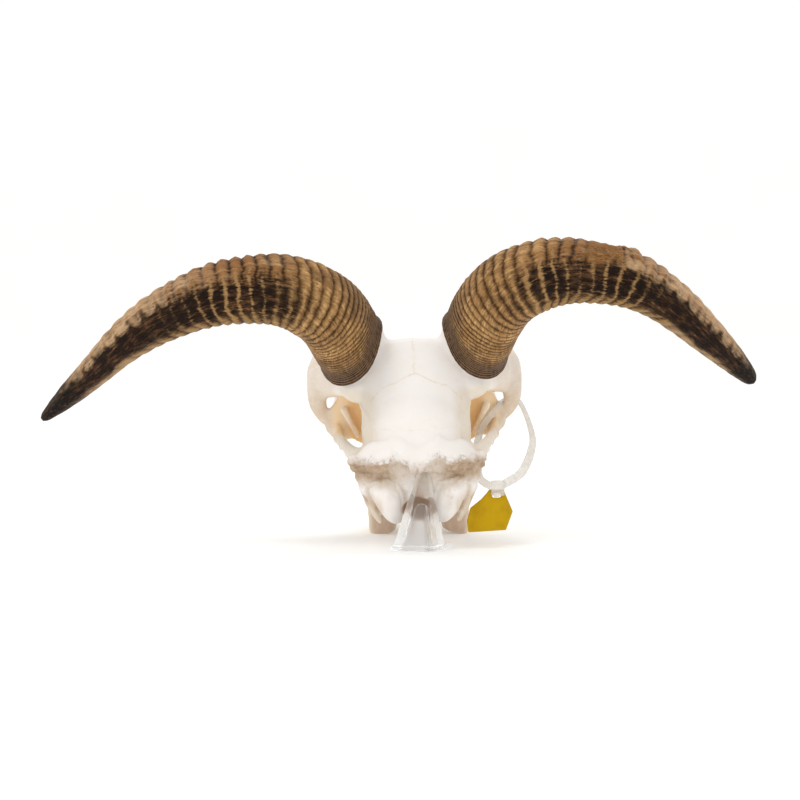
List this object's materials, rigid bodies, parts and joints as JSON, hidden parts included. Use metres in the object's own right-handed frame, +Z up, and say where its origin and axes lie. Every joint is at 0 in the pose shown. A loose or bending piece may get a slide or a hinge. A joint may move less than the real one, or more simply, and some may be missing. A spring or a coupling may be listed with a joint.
{
  "type": "mounted bighorn ram skull",
  "caption": "Life-size bighorn ram skull with horns and no lower jaw, resting on its rear molars and a clear tapered post, with a blank yellow tag looped round a cheek arch.",
  "frame": {"origin": "centre of the stand post's flange on the surface it stands on, under the back of the skull", "axes": "+Z up, +Y from the back of the skull towards its nose, +X to the animal's right, across the spread of the horns"},
  "size_m": [0.4087, 0.2733, 0.1728],
  "materials": {
    "bone": "bleached dry bone, matte, slightly warmer in the hollows",
    "teeth": "stained dry cheek teeth in bone of the same piece",
    "horn": "ridged horn sheath, dull, dark at the base and golden brown along its length",
    "acrylic": "clear moulded acrylic",
    "nylon": "translucent white nylon",
    "tag": "satin mustard yellow plastic, bare"
  },
  "bodies": {
    "root": {"cranium": "bone", "nasal_left": "bone", "nasal_right": "bone", "maxilla_left": "teeth", "maxilla_right": "teeth", "premaxilla_left": "bone", "premaxilla_right": "bone", "horn_left": "horn", "horn_right": "horn", "stand_post": "acrylic", "tag_strap": "nylon", "tag_plate": "tag"}
  },
  "joints": []
}
